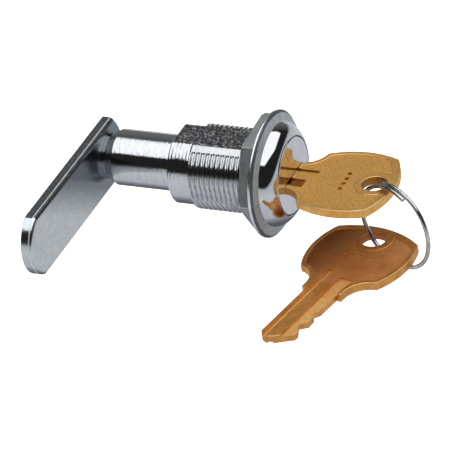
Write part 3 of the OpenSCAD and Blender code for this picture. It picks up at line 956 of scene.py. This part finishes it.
def panel_outline():
    """The sunk panel: the bow's outline drawn in, less the boss round the hole."""
    upper = bow_half(RIM_SIDE, RIM_END, PANEL_START)
    boss_c = (HOLE_U, 0)
    end_c, end_r = (BOW_END[0], 0), BOW_END[1] - RIM_END
    meet = crossing(end_c, end_r, boss_c, BOSS_R, True)
    upper = [p for p in upper if p[1] > meet.y or p[0] < HOLE_U - BOSS_R - 1]
    upper.append(tuple(meet))
    boss = arc_between(boss_c, BOSS_R, tuple(meet), (meet.x, -meet.y), 32, 1)
    lower = [(u, -v) for u, v in upper[::-1]]
    return upper + boss[1:-1] + lower


def grown(points, width):
    """An outline moved outwards by width, corner by corner."""
    count = len(points)
    area = sum(points[i - 1][0] * points[i][1] - points[i][0] * points[i - 1][1] for i in range(count))
    return inset(points, -width if area > 0 else width)


def stepped_prism(outline, steps):
    """A prism whose outline is moved outwards by offset at each height, from (height, offset) steps."""
    return ring_skin([[(x, y, z) for x, y in grown(outline, offset)] for z, offset in steps],
                     closed=False)


def rounding(radius, outwards):
    """(height, offset) steps that end at the key's upper face and round the edge there."""
    turns = [math.radians(a) for a in (0, 22.5, 45, 67.5, 90)]
    return [(KEY_HALF_T - radius * (1 - math.sin(a)), outwards * radius * (1 - math.cos(a)))
            for a in turns]


def mirrored(steps):
    """The same steps on the key's lower face."""
    return [(-z, offset) for z, offset in steps[::-1]]


def key_cutters():
    """The hole, the panels with their creases, the grooves and the dimples."""
    t = KEY_HALF_T
    flare = rounding(INNER_ROUND, 1) + [(t + 1, INNER_ROUND)]
    cutters = [stepped_prism(circle((HOLE_U, 0), HOLE_R, 64), mirrored(flare) + flare)]
    panel = panel_outline()
    sunk = [(t - PANEL_DEPTH, 0)] + flare
    for steps, side in ((mirrored(sunk), -1), (sunk, 1)):
        cutters.append(stepped_prism(panel, steps))
        crease = sorted((side * (t - CREASE_DEPTH), side * (t - INNER_ROUND)))
        cutters.append(combine(prism(panel, *crease), [prism(grown(panel, -CREASE_WIDTH), -5, 5)]))
    for groove, z0, z1 in ((NARROW_GROOVE, t - GROOVE_DEPTH, 5), (WIDE_GROOVE, t - GROOVE_DEPTH, 5),
                           (UNDER_GROOVE, -5, -t + GROOVE_DEPTH)):
        cutters.append(box_mesh((-30, groove[0], z0), (groove[2], groove[1], z1)))
    count, u, spacing, radius, depth = DIMPLES
    for i in range(count):
        spot = circle((u, spacing * (i - (count - 1) / 2)), radius, 20)
        cutters.append(prism(spot, t - PANEL_DEPTH - depth, t + 1))
    return cutters


def key_mesh():
    rounded = rounding(OUTER_ROUND, -1)
    bm = stepped_prism(key_outline(), mirrored(rounded) + rounded)
    bm = combine(bm, key_cutters())

    def wall(e):
        """Convex edges of the grooves and dimples."""
        heights = [max(v.co.z for v in f.verts) - min(v.co.z for v in f.verts) for f in e.link_faces]
        return e.is_convex and max(heights) > 0.15

    bm.normal_update()
    bevel_edges(bm, width=0.1, angle=35, keep=wall)
    bm.normal_update()
    return bm


def key_finish(face):
    """Which of a key's materials a face has: by its depth if it is flat, else by its tilt and place."""
    middle = face.calc_center_median()
    tilt = abs(face.normal.z)
    if tilt > 0.99:
        depth = KEY_HALF_T - abs(middle.z)
        levels = ((0.1, RIM), (PANEL_DEPTH + 0.05, PANEL), (CREASE_DEPTH + 0.05, CREASE))
        return next((finish for level, finish in levels if depth < level), GROOVE)
    # tilted bevel faces take the edge material: wear and painted highlight
    if tilt > 0.2:
        return EDGE
    # the hole's wall takes the crease's painted shadow
    return CREASE if math.hypot(middle.x - HOLE_U, middle.y) < HOLE_R + 0.3 else RIM


def make_key(name, node, body, place, materials):
    bm = key_mesh()
    for face in bm.faces:
        face.material_index = key_finish(face)
    bmesh.ops.transform(bm, matrix=place, verts=bm.verts)
    add_piece(name, bm, body, materials, [node], smooth_angle=30)


def make_keys():
    place = Matrix.Translation((0, 0, KEY_Z)) @ Matrix.Rotation(math.radians(-90), 4, "Z")
    make_key("key_in_lock", "key", "key", place,
             [BRASS, BRASS_PANEL, BRASS_GROOVE_SHADE, BRASS_EDGE_WEAR_AND_HIGHLIGHT, BRASS_CREASE_SHADOW])
    turn = Matrix.Rotation(SPARE_TURN, 4, "Z")
    place = Matrix.Translation(SPARE_HOLE) @ turn @ Matrix.Translation((-HOLE_U, 0, 0))
    make_key("key_spare", "spare_key", "spare_key", place,
             [COPPER_BRASS, COPPER_PANEL_SHADED, COPPER_GROOVE, COPPER_EDGE_WEAR_AND_HIGHLIGHT, COPPER_CREASE_SHADOW])


# ---- ring ----
RING_CENTRE = Vector((-2.36, -29.09, -8.5))
RING_TURN = math.radians(-25)
RING_R = 10
WIRE_R = 0.49
# the wire's first end and how far it runs round, in degrees, its sideways place and its travel a turn
RING_START = -28
RING_SWEEP = 406
RING_OFFSET = -1
RING_PITCH = 1.14
RING_STEP = 3.5
WIRE_SIDES = 20
# the rounded ends: how far from the end, in degrees, and the share of the wire's radius there
WIRE_END = ((0, 0.75), (0.4, 0.95))
WIRE_END_LENGTH = 0.9


def make_ring():
    """A split ring of round wire whose ends lie side by side, with slightly rounded ends."""
    normal = Vector((math.cos(RING_TURN), math.sin(RING_TURN), 0))
    along = Vector((-math.sin(RING_TURN), math.cos(RING_TURN), 0))
    count = int(RING_SWEEP / RING_STEP)
    step = (RING_SWEEP - 2 * WIRE_END_LENGTH) / count
    stops = list(WIRE_END)
    stops += [(WIRE_END_LENGTH + step * i, 1.0) for i in range(count + 1)]
    stops += [(RING_SWEEP - past, share) for past, share in WIRE_END[::-1]]
    rings = []
    for past, share in stops:
        a = math.radians(RING_START + past)
        out = math.sin(a) * along + math.cos(a) * Vector((0, 0, 1))
        middle = RING_CENTRE + RING_R * out + (RING_OFFSET + RING_PITCH * past / 360) * normal
        rings.append([middle + WIRE_R * share * (math.cos(b) * out + math.sin(b) * normal)
                      for b in even_angles(WIRE_SIDES)])
    bm = ring_skin(rings, closed=False)
    add_piece("wire_ring", bm, "ring", [STEEL], ["key_ring"], smooth_angle=40)


# ---- CAD nodes that stay ----
def dress_cad_nodes():
    finish = {node: STEEL for node in ("stop_pin", "wafer_springs", "retainer_spring")}
    finish["retainer_wafer"] = WAFER_BRASS
    finish.update({f"wafer_{i + 1}": WAFER_BRASS for i in range(WAFERS)})
    for node, made in finish.items():
        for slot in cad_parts[node].material_slots:
            slot.material = made


# ---- floor, light and surroundings, with places and sizes in metres ----
FLOOR_Z = -0.16
FLOOR_HALF = 6.0


def make_floor():
    bm = bmesh.new()
    bmesh.ops.create_grid(bm, x_segments=8, y_segments=8, size=FLOOR_HALF)
    for v in bm.verts:
        v.co.z = FLOOR_Z
    mesh = bpy.data.meshes.new("floor")
    bm.to_mesh(mesh)
    bm.free()
    floor = bpy.data.objects.new("floor", mesh)
    bpy.context.scene.collection.objects.link(floor)
    made, n = new_material("floor")
    paint_white = n.add("BsdfDiffuse", {"Color": (0.9, 0.9, 0.9, 1)})
    glow = n.add("Emission", {"Color": (1, 1, 1, 1), "Strength": 0.6})
    both = n.add("AddShader", {0: paint_white.outputs[0], 1: glow.outputs[0]})
    n.add("OutputMaterial", {"Surface": both.outputs[0]})
    mesh.materials.append(made)
    floor.visible_glossy = False
    floor.visible_diffuse = False


# the surroundings' tones by height, 0 straight down to 1 straight up
HEIGHT_TONES = ((0.0, (0.6, 0.61, 0.66)), (0.3, (0.72, 0.735, 0.77)), (0.47, (0.64, 0.65, 0.66)),
                (0.5, (0.55, 0.56, 0.56)), (0.545, (0.02, 0.02, 0.018)), (1.0, (0.02, 0.02, 0.02)))
# how much higher the dark upper part starts on the near right than on the near left
LEAN = 0.16
# how much the part behind the lock is lifted towards white, the direction to its middle, and the ranges
# of nearness to that and of height over which the lift sets in
LIFT = 0.16
BEHIND = (0.8, 0.6)
LIFT_RANGE = (0.45, 0.85)
LIFT_HEIGHT = (-0.15, 0.1)
# the shade under the lock: the direction to its middle, the nearness to that over which it sets in, its
# tone and its strength
UNDER = (0.42, 0.15, -0.89)
UNDER_RANGE = (0.74, 0.96)
UNDER_TONE = (0.02, 0.02, 0.025)
UNDER_STRENGTH = 0.8
# the soft box's radiance and the directions to its corners, seen from the lock, and its soft edge
SOFT_BOX_TONE = (1.5, 1.5, 1.5)
SOFT_BOX = ((-1.0, 0.75, 1), (-0.9, -0.75, 1), (0.3, -1.3, 1), (1.45, -0.8, 1), (0.4, 0.6, 1))
SOFT_BOX_EDGE = (-0.01, 0.035)
CAMERA_WHITE = (1.02, 1.02, 1.02)


def make_world():
    """White to the camera. To the metal, a pale lower half and a dark upper half behind the soft box."""
    world = bpy.data.worlds.new("studio")
    bpy.context.scene.world = world
    world.use_nodes = True
    world.node_tree.nodes.clear()
    n = Nodes(world.node_tree)

    def times(a, b):
        return n.math("MULTIPLY", a, b)

    direction = n.add("TexCoord").outputs["Generated"]
    x, y, z = n.add("SeparateXYZ", {0: direction}).outputs
    near_right = times(x, n.math("MULTIPLY", y, -1.5, clamp=True))
    height = n.span(n.math("SUBTRACT", z, times(near_right, LEAN)), -1, 1)
    tone = n.ramp(height, *HEIGHT_TONES)
    behind = n.math("ADD", times(x, BEHIND[0]), times(y, BEHIND[1]))
    lift = times(n.span(behind, *LIFT_RANGE), n.span(z, *LIFT_HEIGHT))
    tone = n.mix(times(lift, LIFT), tone, (1, 1, 1))
    shade = n.span(n.dot(direction, UNDER), *UNDER_RANGE)
    tone = n.mix(times(shade, UNDER_STRENGTH), tone, UNDER_TONE)
    # the soft box lies inside the planes through each pair of neighbouring corners
    inside = 1.0
    for corner, next_corner in zip(SOFT_BOX, SOFT_BOX[1:] + SOFT_BOX[:1]):
        side = Vector(corner).cross(Vector(next_corner)).normalized()
        inside = times(inside, n.span(n.dot(direction, side), *SOFT_BOX_EDGE))
    tone = n.mix(inside, tone, SOFT_BOX_TONE)
    tone = n.mix(n.add("LightPath").outputs["Is Camera Ray"], tone, CAMERA_WHITE)
    background = n.add("Background", {"Color": tone, "Strength": 1.0})
    n.add("OutputWorld", {"Surface": background.outputs[0]})


LIGHT_PLACE = Vector((0.05, -0.1, 0.6))
LIGHT_TARGET = Vector((0.05, -0.1 + 1e-4, 0))
LIGHT_SIZE = 1.0
LIGHT_RADIANCE = 1.2


def make_lights():
    """One light for the floor. The metal sees the soft box in the surroundings instead."""
    data = bpy.data.lights.new("soft_light", "AREA")
    data.shape = "SQUARE"
    data.size = LIGHT_SIZE
    data.energy = LIGHT_RADIANCE * math.pi * LIGHT_SIZE ** 2
    light = bpy.data.objects.new("soft_light", data)
    bpy.context.scene.collection.objects.link(light)
    light.location = LIGHT_PLACE
    light.rotation_mode = "QUATERNION"
    light.rotation_quaternion = (LIGHT_TARGET - LIGHT_PLACE).to_track_quat("-Z", "Y")
    light.visible_glossy = False


make_camera()
make_world()
make_lights()
make_floor()
make_housing()
make_nut()
make_plug()
make_cam()
make_washer()
make_screw()
make_keys()
make_ring()
dress_cad_nodes()
bpy.context.scene.view_settings.view_transform = "Standard"
